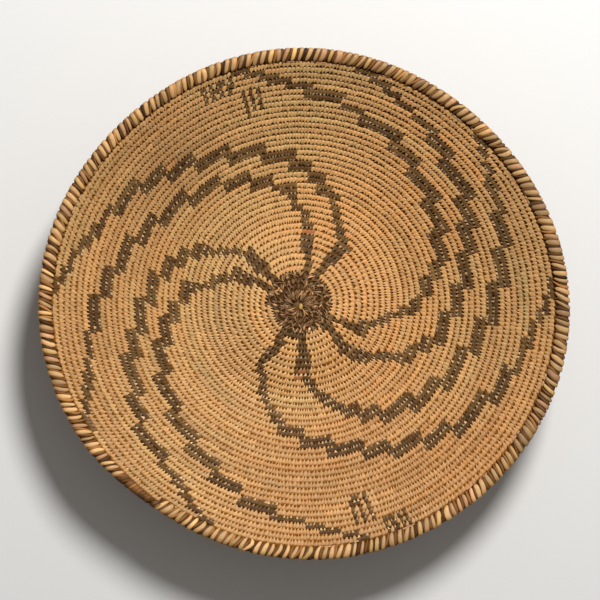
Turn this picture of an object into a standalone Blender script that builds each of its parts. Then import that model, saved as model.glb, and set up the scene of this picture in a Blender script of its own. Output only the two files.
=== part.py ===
"""Coiled basket tray.

A bundle of fibre is wound in a spiral from a small knot and sewn to itself, turn by turn.
The first turns lie flat and carry the tray. The next ones climb to the edge, where a thicker
last turn, the rim coil, is whipped all round with slanted splints.
The inside of the bowl faces +Z, and the origin is under the knot, on the plane it rests on.
"""
import bmesh
import bpy
import numpy as np

# Coil, in metres
COIL_PITCH = 0.00455          # from one turn to the next, along the wall
COIL_THICKNESS = 0.0050       # from the front ridge to the back ridge
COIL_CONTACT = 0.0030         # height of the side that presses on the next turn
COIL_DRIFT = 0.0037           # how far the middle of the turns wanders from the knot
DRIFT_ANGLE = 52.0            # degrees: the side that they wander to
KNOT_RADIUS = 0.0036          # where the first turn starts
KNOT_CROWN = 0.0021           # radius of the flat crown on the knot
KNOT_SHOULDER = 0.0034        # height at which the knot starts to round over
SEAT_GAP = 0.0003             # clearance between pieces that touch

# Turns of each length of coil
CENTRE_TURNS = 4
BASE_TURNS = 6
LOWER_TURNS = 12              # the curved part of the wall
UPPER_TURNS = 19 + 5 / 32     # the straight part of the wall

# Bowl
START_ANGLE = 177.25          # degrees: where the first turn starts
WALL_SLOPE = 26.0             # degrees, on the upper wall
RISE_LENGTH = 0.050           # length of wall over which that slope builds up
RIM_WARP = 0.0015             # how far the rim stands up and down from its mean height
WARP_ANGLE = 90.0             # degrees: one of the two high points of the rim

# Hand-made outline: how far the rim stands out or in, in waves round the edge
# Each wave has its count round the rim, its depth and the angle of its crest in degrees
OUTLINE_WAVES = ((1, 0.0030, -11.5), (2, 0.0039, -8.5), (3, 0.0006, -32.5), (4, 0.0011, 0.5))

# Rim coil
RIM_WIDTH = 0.0080
RIM_INNER_HEIGHT = 0.0060
RIM_OUTER_HEIGHT = 0.0042
RIM_TAPER = 22.0              # degrees over which the end thins down to close the ring

# Splint whipped round the rim coil
WRAP_PITCH = 0.0057           # from one wrap to the next, along the outer edge
WRAP_WIDTH = 0.0034
WRAP_THICKNESS = 0.0010
WRAP_PINCH = 0.0005           # thickness where it passes between the rim and the wall
WRAP_LEAN_FRONT = 0.0034      # how far a wrap runs along the rim on its way over the front
WRAP_LEAN_BACK = 0.0020       # and over the back
DARK_STRETCH = 11.0           # degrees of rim, before the coil's end, with a dark splint

# Facets
CENTRE_SEGMENTS = 16          # in one turn
WALL_SEGMENTS = 32
RIM_SEGMENTS = 96
PROFILE_STEP = 0.0005         # steps in which the bowl's profile is added up
CREASE_ANGLE = 50.0           # degrees: flatter edges than this are shaded smooth

# What follows from these sizes
FLAT_TURNS = CENTRE_TURNS + BASE_TURNS
ALL_TURNS = FLAT_TURNS + LOWER_TURNS + UPPER_TURNS
FLAT_REACH = KNOT_RADIUS + COIL_PITCH * FLAT_TURNS
RIM_START = KNOT_RADIUS + COIL_PITCH * ALL_TURNS
WALL_REACH = RIM_START + COIL_PITCH + RIM_WIDTH
RIM_END_WIDTH = RIM_WIDTH - COIL_PITCH
RIM_SLOT = WRAP_PINCH + 2 * SEAT_GAP      # from the wall's last turn to the rim coil

# Sections of a coil: place across it from 0 to 1, and height over its middle surface
HALF_THICK = COIL_THICKNESS / 2
HALF_CONTACT = COIL_CONTACT / 2
WALL_SECTION = ((0, HALF_CONTACT), (0.5, HALF_THICK), (1, HALF_CONTACT),
                (1, -HALF_CONTACT), (0.5, -HALF_THICK), (0, -HALF_CONTACT))
BASE_SECTION = ((0, HALF_CONTACT), (0.5, HALF_THICK), (1, HALF_CONTACT),
                (1, -HALF_THICK), (0, -HALF_THICK))
RIM_SECTION = ((0, RIM_INNER_HEIGHT / 2), (1, RIM_OUTER_HEIGHT / 2),
               (1, -RIM_OUTER_HEIGHT / 2), (0, -RIM_INNER_HEIGHT / 2))

TAN = (0.66, 0.44, 0.24)
PALE = (0.74, 0.55, 0.33)
DARK = (0.09, 0.06, 0.04)


def clear_scene():
    """Removes the objects of the scene that the script starts in."""
    for item in list(bpy.data.objects):
        bpy.data.objects.remove(item, do_unlink=True)


def straw(name, colour, roughness):
    """A plain finish for one kind of splint or fibre."""
    material = bpy.data.materials.new(name)
    material.use_nodes = True
    shader = material.node_tree.nodes["Principled BSDF"]
    shader.inputs["Base Color"].default_value = (*colour, 1)
    shader.inputs["Roughness"].default_value = roughness
    shader.inputs["Metallic"].default_value = 0
    material.diffuse_color = (*colour, 1)
    return material


def slope(reach):
    """Angle of the wall at a distance along it from the middle: it eases in from the flat base."""
    share = np.clip((reach - FLAT_REACH) / RISE_LENGTH, 0, 1)
    return np.radians(WALL_SLOPE) * share ** 2 * (3 - 2 * share)


def profile(reach):
    """Radius and height of the wall's middle surface: the slope, added up along the wall."""
    steps = np.arange(0, WALL_REACH + COIL_PITCH, PROFILE_STEP)
    angle = slope(steps + PROFILE_STEP / 2)
    radius = np.concatenate(([0], np.cumsum(np.cos(angle)) * PROFILE_STEP))
    height = np.concatenate(([0], np.cumsum(np.sin(angle)) * PROFILE_STEP))
    marks = np.concatenate((steps, [steps[-1] + PROFILE_STEP]))
    return np.interp(reach, marks, radius), np.interp(reach, marks, height) + HALF_THICK


def surface(reach, angle, lift):
    """Point of the bowl: a distance along the wall, an angle in degrees, and a height over it.

    The profile is turned about Z. Above the flat base the outline's waves and the rim's warp
    come in with the square of the way up the wall.
    """
    reach, angle, lift = np.broadcast_arrays(reach, angle, lift)
    radius, height = profile(reach)
    tilt = slope(reach)
    grown = np.clip((reach - FLAT_REACH) / (WALL_REACH - FLAT_REACH), 0, None) ** 2
    for count, depth, crest in OUTLINE_WAVES:
        radius = radius + grown * depth * np.cos(np.radians(count * (angle - crest)))
    height = height + grown * RIM_WARP * np.cos(np.radians(2 * (angle - WARP_ANGLE)))
    radius = radius - lift * np.sin(tilt)
    height = height + lift * np.cos(tilt)
    turned = np.radians(angle)
    return np.stack((radius * np.cos(turned), radius * np.sin(turned), height), axis=-1)


def coil_reach(turn):
    """Distance from the middle to a coil's inner side, after so many turns from the knot.

    It is a spiral whose middle wanders to one side and comes back before the rim.
    """
    wander = COIL_DRIFT * np.sin(np.pi * np.clip(turn / ALL_TURNS, 0, 1) ** 0.7)
    angle = START_ANGLE + 360 * turn - DRIFT_ANGLE
    return KNOT_RADIUS + COIL_PITCH * turn + wander * np.cos(np.radians(angle))


def rim_width(turn):
    """Width of the rim coil, which thins down at its end."""
    left = (ALL_TURNS + 1 - turn) * 360
    share = np.clip(left / RIM_TAPER, 0, 1)
    return RIM_END_WIDTH + (RIM_WIDTH - RIM_END_WIDTH) * share ** 2 * (3 - 2 * share)


def loft(name, rings, material, collection):
    """A closed solid through rings of points, with a flat cap on its first and last ring."""
    count, points = rings.shape[:2]
    corner = np.arange(points)
    after = (corner + 1) % points
    step = np.arange(count - 1)[:, None] * points
    side = np.stack((step + corner, step + after, step + points + after, step + points + corner), -1)
    faces = side.reshape(-1, 4).tolist()
    faces.append(corner[::-1].tolist())
    faces.append((corner + (count - 1) * points).tolist())
    mesh = bpy.data.meshes.new(name)
    mesh.from_pydata(rings.reshape(-1, 3).tolist(), [], faces)
    shell = bmesh.new()
    shell.from_mesh(mesh)
    bmesh.ops.recalc_face_normals(shell, faces=shell.faces)
    shell.to_mesh(mesh)
    shell.free()
    mesh.shade_smooth()
    mesh.set_sharp_from_angle(angle=np.radians(CREASE_ANGLE))
    mesh.materials.append(material)
    piece = bpy.data.objects.new(name, mesh)
    collection.objects.link(piece)
    return piece


def stations(first, turns, segments):
    """Turn counts of the rings of a length of coil, with half a gap left at each end."""
    marks = first + np.arange(round(turns * segments) + 1) / segments
    around = 2 * np.pi * np.array([coil_reach(marks[0]), coil_reach(marks[-1])])
    marks[0] += SEAT_GAP / 2 / around[0]
    marks[-1] -= SEAT_GAP / 2 / around[1]
    return marks


def coil_length(name, first, turns, segments, section, material, collection):
    """A length of sewn coil: its section is carried along the spiral, on the bowl's surface."""
    marks = stations(first, turns, segments)[:, None]
    across, lift = np.array(section).T
    inner = coil_reach(marks) + SEAT_GAP / 2
    outer = coil_reach(marks + 1) - SEAT_GAP / 2
    rings = surface(inner + across * (outer - inner), START_ANGLE + 360 * marks, lift)
    return loft(name, rings, material, collection)


def start_knot(material, collection):
    """The knot: a low button whose side follows the first turn of the spiral round it."""
    turn = np.linspace(0, 1, CENTRE_SEGMENTS + 1)
    side = coil_reach(turn) - SEAT_GAP / 2
    angle = np.radians(START_ANGLE + 360 * turn)
    outline = np.stack((side * np.cos(angle), side * np.sin(angle)), axis=-1)
    crown = outline * KNOT_CROWN / KNOT_RADIUS
    levels = ((outline, 0), (outline, KNOT_SHOULDER), (crown, COIL_THICKNESS))
    rings = [np.column_stack((shape, np.full(len(shape), height))) for shape, height in levels]
    return loft("start_knot", np.array(rings), material, collection)


def rim_coil(material, collection):
    """The last turn: a thicker bundle, whose thinned end closes the ring."""
    marks = stations(ALL_TURNS, 1, RIM_SEGMENTS)[:, None]
    across, lift = np.array(RIM_SECTION).T
    reach = coil_reach(marks) + RIM_SLOT + across * (rim_width(marks) - RIM_SLOT)
    rings = surface(reach, START_ANGLE + 360 * marks, lift)
    return loft("rim_coil", rings, material, collection)


def rim_splint(name, turn, material, collection):
    """One splint whipped round the rim coil, with a wrap at each turn count given.

    Its path is a helix round the coil: over the front, round the outer side, over the back and
    up through the slot beside the wall. Each wrap has a ring at each corner of the coil: front
    inner, front outer, back outer and back inner. The section is a low ridge, flat on the coil.
    """
    turn = turn[::-1, None]
    around = 2 * np.pi * profile(coil_reach(turn) + rim_width(turn))[0]
    lean = np.array((WRAP_LEAN_FRONT, 0, 0, -WRAP_LEAN_BACK))
    outside = np.array((0, 1, 1, 0))
    height = np.array((RIM_INNER_HEIGHT, RIM_OUTER_HEIGHT, -RIM_OUTER_HEIGHT, -RIM_INNER_HEIGHT)) / 2
    thickness = np.where(outside, WRAP_THICKNESS, WRAP_PINCH)
    corner = coil_reach(turn) + RIM_SLOT + outside * (rim_width(turn) - RIM_SLOT)
    rings = []
    for side, crown in ((-0.5, 0), (0, 1), (0.5, 0)):
        place = turn + (lean + side * WRAP_WIDTH) / around
        reach = corner + (2 * outside - 1) * (SEAT_GAP + crown * thickness)
        lift = height + np.sign(height) * (SEAT_GAP + crown * WRAP_THICKNESS)
        rings.append(surface(reach, START_ANGLE + 360 * place, lift).reshape(-1, 3))
    return loft(name, np.stack(rings, axis=1), material, collection)


def wrap_turns():
    """Turn counts of the rim's wraps, evenly spaced, and which of them are dark."""
    around = 2 * np.pi * profile(RIM_START + RIM_WIDTH)[0]
    count = int(round(around / WRAP_PITCH))
    share = (np.arange(count) + 0.5) / count
    return ALL_TURNS + share, share > 1 - DARK_STRETCH / 360


def build():
    """Makes the tray's pieces in their own collection."""
    clear_scene()
    tray = bpy.data.collections.new("basket_tray")
    bpy.context.scene.collection.children.link(tray)
    tan = straw("tan_splint", TAN, 0.62)
    pale = straw("pale_splint", PALE, 0.55)
    dark = straw("dark_splint", DARK, 0.5)
    flat = (WALL_SEGMENTS, BASE_SECTION)
    sloping = (WALL_SEGMENTS, WALL_SECTION)
    start_knot(dark, tray)
    coil_length("centre_coil", 0, CENTRE_TURNS, CENTRE_SEGMENTS, BASE_SECTION, dark, tray)
    coil_length("base_coil", CENTRE_TURNS, BASE_TURNS, *flat, tan, tray)
    coil_length("lower_wall_coil", FLAT_TURNS, LOWER_TURNS, *sloping, tan, tray)
    coil_length("upper_wall_coil", FLAT_TURNS + LOWER_TURNS, UPPER_TURNS, *sloping, tan, tray)
    rim_coil(tan, tray)
    turn, is_dark = wrap_turns()
    rim_splint("rim_splint", turn[~is_dark], pale, tray)
    rim_splint("rim_splint_dark", turn[is_dark], dark, tray)


build()
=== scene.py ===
"""Coiled basket tray, sewn stitch by stitch over its bundle and whipped round the rim.

The tray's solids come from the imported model. Each visible length of coil is stood for here by
its own stitches: short strips of splint that pass over the bundle, down the outer side, back
underneath, and up between two stitches of the turn before. Sizes are in metres, or in mm where
that is said, and angles are in degrees. A place on the tray is a turn count along the spiral, a
share across the coil from its inner to its outer side, and a height over the bowl's middle surface.
"""

import bpy
import numpy as np
from mathutils import Matrix


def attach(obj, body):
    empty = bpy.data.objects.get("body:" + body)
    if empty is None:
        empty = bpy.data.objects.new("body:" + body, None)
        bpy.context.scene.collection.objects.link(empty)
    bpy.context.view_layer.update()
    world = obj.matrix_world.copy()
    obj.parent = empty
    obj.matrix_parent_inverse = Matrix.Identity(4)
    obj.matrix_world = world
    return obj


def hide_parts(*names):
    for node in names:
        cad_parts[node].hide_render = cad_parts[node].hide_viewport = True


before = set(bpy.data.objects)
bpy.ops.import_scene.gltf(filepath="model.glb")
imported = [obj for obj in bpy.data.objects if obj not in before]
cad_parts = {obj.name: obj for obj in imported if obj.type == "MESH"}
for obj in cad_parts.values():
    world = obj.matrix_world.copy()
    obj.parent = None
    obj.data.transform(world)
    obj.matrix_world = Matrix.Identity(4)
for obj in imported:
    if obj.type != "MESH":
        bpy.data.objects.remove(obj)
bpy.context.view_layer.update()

# Bowl and spiral, as in the solids
COIL_PITCH = 0.00455
COIL_DRIFT = 0.0037
DRIFT_ANGLE = 52.0
KNOT_RADIUS = 0.0036
HALF_THICK = 0.0025
CENTRE_TURNS = 4
FLAT_TURNS = 10
WALL_TURNS = 22               # where the curved part of the wall ends
ALL_TURNS = 41 + 5 / 32
START_ANGLE = 177.25
WALL_SLOPE = 26.0
RISE_LENGTH = 0.050
RIM_WARP = 0.0015
WARP_ANGLE = 90.0
OUTLINE_WAVES = ((1, 0.0030, -11.5), (2, 0.0039, -8.5), (3, 0.0006, -32.5), (4, 0.0011, 0.5))
RIM_WIDTH = 0.0080
RIM_TAPER = 22.0
PROFILE_STEP = 0.0005
FLAT_REACH = KNOT_RADIUS + COIL_PITCH * FLAT_TURNS
RIM_START = KNOT_RADIUS + COIL_PITCH * ALL_TURNS
WALL_REACH = RIM_START + COIL_PITCH + RIM_WIDTH

# Stitches
# Pitch along the coil in mm at a turn count: at the twelfth turn the maker sewed them closer
STITCH_PITCHES = ((0, 1.3), (3.4, 1.6), (4.4, 2.8), (8, 3.1), (11.3, 3.4), (12.4, 2.2), (15, 2.35),
                  (17, 2.65), (19.6, 2.85), (21.8, 3.1), (23, 2.95), (32, 2.95), (36, 3.1),
                  (41, 3.2))
ROW_SHIFT = 0.08              # how far a stitch stands past the one below it, in stitches
SPREAD_LIMITS = (1.03, 1.13)  # how far two stitches may spread, in pitches, before one is let in
LET_IN_RUN = 8                # stitches over which one more is let in
WIDE_SPREAD = 1.3             # past this spread it is let in over fewer
WIDE_RUN = 3
STITCH_LEAN = 0.42            # how far its outer end leans back over the coil's width, in stitches
SPLINT_THICKNESS = 0.0005
COIL_WAVER = 0.00016          # how far a coil's side wanders by hand
# How far stitches stray: on an even stitch, and what is added on a rough one
PLACE_STRAY = (0.04, 0.12)    # along the coil, in stitches
HEEL_STRAY = (0.10, 0)        # its inner end alone, in stitches
LEAN_STRAY = (0.11, 1.9)
NECK_STRAY = (0.26, 0)        # width of its inner end
WIDTH_STRAY = (0.04, 0.12)
ACROSS_STRAY = (0.035, 0.10)  # over the coil, as a share across it
HEIGHT_STRAY = (0.11, 0.08)   # in mm
MOST_HEIGHT = 0.15            # how far in mm a stitch may stand over the coil

# Path of a stitch round the coil: share across it, height in mm, share of its room, and painted
# shade, which above 1 is a painted highlight
STITCH_PATH = ((-0.37, 0.80, 0.34, 0.40), (-0.33, 1.75, 0.36, 0.78), (-0.24, 2.20, 0.40, 1.12),
               (-0.02, 2.40, 0.44, 1.22), (0.09, 2.44, 0.72, 1.17), (0.19, 2.42, 1.08, 1.04),
               (0.54, 2.32, 1.14, 1.02), (0.67, 2.10, 1.08, 0.96), (0.735, 1.55, 0.80, 0.75),
               (0.78, 0.20, 0.60, 0.30), (0.84, -1.50, 0.72, 0.70), (0.50, -2.28, 1.00, 1.00),
               (0.02, -1.80, 0.60, 0.80))
# The dark middle is sewn with split, ragged splints that lie over each other
CENTRE_PATH = ((-0.12, 0.60, 0.36, 0.30), (-0.17, 1.75, 0.48, 0.60), (-0.06, 2.15, 0.70, 0.90),
               (0.08, 2.32, 0.84, 1.00), (0.22, 2.40, 0.92, 1.00), (0.38, 2.44, 0.92, 1.00),
               (0.54, 2.38, 0.90, 1.00), (0.70, 2.15, 0.72, 0.90), (0.82, 1.55, 0.48, 0.60),
               (0.92, 0.10, 0.50, 0.30), (0.84, -1.50, 0.72, 0.70), (0.50, -2.28, 1.00, 1.00),
               (0.02, -1.80, 0.60, 0.80))
KNOT_PATH = ((-0.70, 0.60, 0.40, 0.40), (-0.66, 1.90, 0.50, 0.70), (-0.38, 2.15, 0.80, 0.95),
             (-0.10, 2.23, 1.00, 1.00), (0.12, 2.30, 1.00, 1.00), (0.36, 2.34, 1.00, 1.00),
             (0.62, 2.32, 1.00, 1.00), (0.88, 2.10, 0.86, 0.95), (1.00, 1.60, 0.60, 0.65),
             (0.92, 0.00, 0.50, 0.30), (0.84, -1.50, 0.72, 0.70), (0.50, -2.26, 1.00, 1.00),
             (0.05, -1.80, 0.70, 0.80))
# Pieces sewn with other stitches than the rest: their path, and how rough they are
RAGGED_PIECES = {"knot_stitches": (KNOT_PATH, 0.5), "centre_stitches": (CENTRE_PATH, 1.0)}
# Section of a splint, in half widths and half thicknesses
SPLINT_SECTION = ((-1, -0.3), (-0.52, 0.85), (0.52, 0.85), (1, -0.3), (0, -1))
EDGE_SHADE = 0.88             # a splint's edges, where it meets its neighbours
CREASE_TINT = (0.6, 1.3, 2.8)  # tint of the painted crease shade: red lasts longest
HIGHLIGHT_TINT = (0.9, 1.15, 1.4)  # and a painted highlight on a crest is a little greyer
FAR_SIDE_SHADING = 1.3                    # how much deeper the painted crease shade and brighter the painted crest highlight are on the far side

# Stepped arms of the whirlwind: first coil, number of coils, and the angles it runs between
ARM_1 = ((5, 1, 52.5, 62.5), (6, 1, 51.5, 62.5), (7, 1, 52, 61.5), (8, 1, 50.2, 59.5),
         (9, 1, 49.3, 59.5), (10, 1, 48.9, 59.3), (11, 1, 47.3, 59.5), (12, 1, 53.2, 62.7),
         (13, 1, 56.8, 65), (14, 1, 60.5, 68.5), (15, 1, 64.8, 70.5), (16, 1, 66.8, 71.8),
         (17, 1, 69.8, 74.5), (18, 1, 69.5, 81.8), (19, 1, 73.6, 82.4), (20, 2, 78.3, 86.8),
         (22, 2, 84.9, 94.5), (24, 2, 92, 105.2), (26, 2, 102.3, 117.5), (28, 2, 114.8, 128.4),
         (30, 2, 126.4, 137.3), (32, 2, 135.2, 145), (34, 2, 143.4, 154.3), (36, 1, 153, 162),
         (37, 1, 158.5, 165.7), (38, 1, 162.5, 168), (39, 1, 166.4, 172.3), (40, 1, 171, 175.5),
         (41, 1, 174, 178))
ARM_2 = ((5, 1, 70, 80), (6, 1, 72.3, 80.5), (7, 1, 73.6, 83.4), (8, 1, 75.5, 86),
         (9, 1, 76.4, 88.2), (10, 1, 76.4, 87.8), (11, 1, 76, 85.5), (12, 1, 80, 87.2),
         (13, 1, 82, 89), (14, 1, 83.4, 89), (15, 1, 87.3, 93.2), (16, 1, 90, 93.6),
         (17, 1, 90.2, 96.4), (18, 1, 91.8, 99), (19, 1, 91.8, 103.6), (20, 2, 101.2, 112.7),
         (22, 2, 110.5, 123.6), (24, 2, 122.3, 138), (26, 2, 135.5, 150.5), (28, 2, 148.2, 159.5),
         (30, 2, 158.2, 170.5), (32, 2, 169, 178.2), (34, 2, 177.3, 187.7), (36, 1, 186.8, 195),
         (37, 1, 193.6, 200), (38, 1, 196.8, 202.3), (39, 1, 200, 204.5), (40, 1, 202.7, 207),
         (41, 1, 206, 211))
ARM_3 = ((5, 1, 127.7, 139.5), (6, 1, 127.3, 138.2), (7, 1, 127.3, 138.6), (8, 1, 126.8, 140.5),
         (9, 1, 127.7, 140), (10, 1, 129, 138.2), (11, 1, 129.5, 139), (12, 1, 135.5, 140.5),
         (13, 1, 136.4, 142.3), (14, 1, 139.5, 145.5), (15, 1, 141.4, 148.2), (16, 1, 145.5, 149.5),
         (17, 1, 146, 151.8), (18, 1, 146.4, 155.5), (19, 1, 148.2, 156), (20, 2, 153.6, 161.9),
         (22, 2, 160, 169), (24, 2, 167.3, 180), (26, 2, 176.8, 190), (28, 2, 187.3, 198.2),
         (30, 2, 195.5, 209.5), (32, 2, 206.8, 216.4), (34, 2, 215.5, 228.2), (36, 1, 226.8, 235.5),
         (37, 1, 233.2, 238.6), (38, 1, 236, 241), (39, 1, 239.5, 244.2), (40, 1, 243, 247.5))
ARM_4 = ((5, 1, 145.5, 154.5), (6, 1, 145.9, 155.5), (7, 1, 145, 154.5), (8, 1, 147.3, 158.6),
         (9, 1, 147.3, 158.6), (10, 1, 146.8, 159), (11, 1, 147.3, 160), (12, 1, 154, 162),
         (13, 1, 157, 165), (14, 1, 160, 168.6), (15, 1, 165, 169), (16, 1, 166.4, 170.5),
         (17, 1, 167.7, 173.6), (18, 1, 167.5, 178.8), (19, 1, 168, 180), (20, 2, 177.8, 188.2),
         (22, 2, 184, 196.8), (24, 2, 193.6, 207), (26, 2, 205, 220.5), (28, 2, 217.7, 232.3),
         (30, 2, 230.5, 242.7), (32, 2, 240.7, 251.8), (34, 2, 251.6, 263.2), (36, 1, 260.9, 270.5),
         (37, 1, 270, 275.7), (38, 1, 274, 279.5), (39, 1, 279, 283.2), (40, 1, 282.3, 285.5))
ARM_5 = ((5, 1, 236.4, 248.6), (6, 1, 236.8, 248.2), (7, 1, 236, 246.8), (8, 1, 235, 245),
         (9, 1, 232.3, 243.6), (10, 1, 231.8, 242.7), (11, 1, 233.2, 241.4), (12, 1, 236.8, 245.9),
         (13, 1, 240.9, 248.2), (14, 1, 243.8, 248.5), (15, 1, 244.5, 252), (16, 1, 246.8, 253.5),
         (17, 1, 252, 258), (18, 1, 253.6, 262), (19, 1, 255, 263.6), (20, 2, 260.2, 272.5),
         (22, 2, 269.5, 284), (24, 2, 280.7, 294.5), (26, 2, 292.3, 303.2), (28, 2, 300.7, 313),
         (30, 2, 311, 321.4), (32, 2, 319.6, 334.3), (34, 2, 333, 343.6), (36, 1, 341.8, 352.5),
         (37, 1, 349.5, 356.8), (38, 1, 355, 359.8), (39, 1, 358, 362.5), (40, 1, 361.5, 366.4))
ARM_6 = ((5, 1, 268.6, 281.8), (6, 1, 268.6, 281.8), (7, 1, 268.2, 282.3), (8, 1, 268.2, 283.2),
         (9, 1, 266.8, 283.2), (10, 1, 267.5, 280), (11, 1, 267.3, 280), (12, 1, 273.6, 282.7),
         (13, 1, 277.3, 284), (14, 1, 280, 287.7), (15, 1, 282.3, 289), (16, 1, 284.2, 291),
         (17, 1, 288.6, 295), (18, 1, 291, 301.4), (19, 1, 292.3, 302), (20, 2, 298.4, 308.6),
         (22, 2, 305.2, 321.4), (24, 2, 316.8, 333), (26, 2, 330.2, 346.4), (28, 2, 343.9, 356.1),
         (30, 2, 353.6, 367), (32, 2, 365.2, 376.8), (34, 2, 376.1, 386.1), (36, 1, 383.9, 393.9),
         (37, 1, 390, 396), (38, 1, 395, 399), (39, 1, 398.2, 402), (40, 1, 400.5, 405))
ARM_7 = ((5, 1, 321.4, 329), (6, 1, 315.5, 329), (7, 1, 315, 325.5), (8, 1, 313.2, 324),
         (9, 1, 312.7, 325), (10, 1, 314, 323.6), (11, 1, 314, 326), (12, 1, 316, 327.3),
         (13, 1, 319.5, 327.7), (14, 1, 325, 332), (15, 1, 327.3, 333.6), (16, 1, 328.6, 334),
         (17, 1, 331, 335.5), (18, 1, 331, 341), (19, 1, 332.3, 343.4), (20, 2, 339.3, 347.5),
         (22, 2, 343.6, 358.4), (24, 2, 355.5, 368.4), (26, 2, 365.2, 379.3), (28, 2, 376.4, 387.5),
         (30, 2, 383.6, 394.8), (32, 2, 391.8, 406.4), (34, 2, 405, 413.7), (36, 1, 411.8, 420.5),
         (37, 1, 420.2, 426), (38, 1, 425, 430), (39, 1, 428.5, 433.5), (40, 1, 432.5, 438))
ARM_8 = ((5, 1, 335, 344), (6, 1, 335, 344.5), (7, 1, 335.9, 345), (8, 1, 335.5, 345.5),
         (9, 1, 335, 348.2), (10, 1, 335.5, 348.6), (11, 1, 344, 350), (12, 1, 347.3, 354),
         (13, 1, 349, 356), (14, 1, 352.3, 357.3), (15, 1, 352.7, 359.5), (16, 1, 355.9, 361),
         (17, 1, 356, 364), (18, 1, 357.3, 365.5), (19, 2, 364.5, 373.6), (21, 2, 371.4, 379),
         (23, 2, 376.4, 390), (25, 2, 385.9, 400.7), (27, 2, 397.7, 411.5), (29, 2, 410, 421.6),
         (31, 2, 419, 433.2), (33, 1, 431.8, 439), (34, 2, 439, 449.8), (36, 1, 448, 455),
         (37, 1, 453.4, 459.3), (38, 1, 456.4, 461), (39, 1, 460.2, 464.8), (40, 1, 463.5, 468.5))
# Small bars between the arms, and the torn edge of the dark middle
BARS = ((34, 4, 101.4, 102.6), (34, 4, 103.5, 104.7), (33, 5, 105.5, 106.7), (38, 3, 108.3, 109.5),
        (38, 3, 110.5, 111.7), (38, 3, 112.7, 113.9), (38, 3, 114.9, 116.1), (33, 5, 283.5, 284.7),
        (33, 5, 285.5, 286.7), (33, 5, 287.5, 288.7), (38, 3, 290.1, 291.3), (38, 3, 292.0, 293.2),
        (38, 3, 293.7, 294.8), (38, 3, 295.2, 296.3))
DISC_EDGE = ((4, 1, 53, 80), (4, 1, 138.5, 149), (4, 1, 230, 284), (4, 1, 315, 345))
PATTERN = ARM_1 + ARM_2 + ARM_3 + ARM_4 + ARM_5 + ARM_6 + ARM_7 + ARM_8 + BARS + DISC_EDGE
# Steps sewn with a rusty splint
RUSTY_STEPS = ((11, 1, 76, 85.5), (10, 1, 268.5, 276), (11, 1, 267.3, 273))

# Lengths of coil that are sewn as one piece: from and to a turn count, on a length of coil
SEWN_LENGTHS = (("base_stitches", CENTRE_TURNS, FLAT_TURNS, "base_coil"),
                ("lower_wall_stitches_1", FLAT_TURNS, 17, "lower_wall_coil"),
                ("lower_wall_stitches_2", 17, WALL_TURNS, "lower_wall_coil"),
                ("upper_wall_stitches_1", WALL_TURNS, 28, "upper_wall_coil"),
                ("upper_wall_stitches_2", 28, 33, "upper_wall_coil"),
                ("upper_wall_stitches_3", 33, 37.2, "upper_wall_coil"),
                ("upper_wall_stitches_4", 37.2, ALL_TURNS, "upper_wall_coil"))

# Knot: a ribbed button, and a lens of pale fibre on top of it
KNOT_CORNERS = 84
BUTTON_RINGS = 11
BUTTON_RADIUS = 0.0056
BUTTON_FOOT = 0.0003
BUTTON_RISE = 0.0039
RIBS = 14
RIB_DEPTH = 0.035             # share of the radius
RIB_TWIST = 1.6
CORE_RINGS = 12
CORE_WIDTH = 0.0026
CORE_LENGTH = 0.0044
CORE_THICKNESS = 0.0010
CORE_HEIGHT = 0.0048
CORE_OFFSET = 0.0021
CORE_TURN = 82.0
END_FLAT = 0.02               # size of the small flat at each end, as a share of the ring there

# Fibre bundle: stretches of turns with the number of sections in each
BUNDLE_STRETCHES = ((0.03, 4, 130), (4, 14, 560), (14, ALL_TURNS - 0.001, 2700))
# Its section: share across the coil, and height in mm
BUNDLE_SECTION = ((-0.06, 1.2), (0.2, 1.7), (0.5, 1.9), (0.8, 1.7), (1.06, 1.2),
                  (1.06, -0.9), (0.8, -1.5), (0.5, -1.85), (0.2, -1.5), (-0.06, -0.9))

# Rim, whipped with slanted wraps
WRAP_PITCH = 0.0057
WRAP_THICKNESS = 0.6          # in mm
WRAP_STRAY = 0.07             # along the rim, in wraps
WRAP_WIDTH = (0.57, 0.09)     # of its pitch, and how far it strays
WRAP_LEAN = (22, 5)           # in degrees, and how far it strays
WRAP_BEND = 0.25
DARK_STRETCH = 11.0
DARK_WIDER = 1.2
# A strand is a dark strip sunk between two wraps: painted shade, standing for the wraps' shaded
# sides in the gaps
STRAND_LEAN = (4, 6)          # how much more a strand between two wraps leans
STRAND_NARROWER = 0.7
STRAND_DEPTH = 0.3            # how far in mm it lies under the wraps
STRAND_SHADE_TONE = (0.75, 0.5)
GRIP_FROM = 1.2               # mm from the rim's inner side: inside it a wrap's grip varies
WRAP_GRIP = 0.48              # how much of its reach inside that a wrap keeps
GRIP_SWELLS = ((250, 35, 0.42), (95, 20, 0.20))  # where it grips more: angle, spread, how much
GRIP_STRAY = 0.15
STRAND_GRIP_STRAY = 0.12
RIM_LEVELS = (0.88, 0.17, 0.06)  # brightness, how much darker on the right, and on the far edge
# Section of the rim's bundle: share across it, and height in mm
RIM_SECTION = ((-0.12, 1.2), (0.10, 2.6), (0.5, 2.85), (0.86, 2.1), (1.0, 0.9),
               (1.0, -0.9), (0.86, -2.1), (0.5, -2.85), (0.10, -2.6), (-0.12, -1.2))
RIM_SECTIONS = 900            # along it
RIM_ENDS = 0.0004             # in turns, left free at each end
RIM_INSET = 0.0006            # from the coil's side to the bundle
RIM_SLACK = 0.0008            # how much narrower than the rim coil it is
RIM_LENGTH = 1200             # in mm, for its grain
WRAP_MARGIN = 0.0009          # how much wider than the rim coil the wraps are
WRAP_MIDDLE = 3.6             # mm from the rim's inner side to the middle of a wrap
WRAP_SPAN = np.hypot(WRAP_MIDDLE, 4.4)  # about the farthest in mm that its path gets from there
LEAN_PIVOT = 4                # mm from the rim's inner side to the point that a wrap leans about
WRAP_EDGE_SHADE = 0.7
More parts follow.
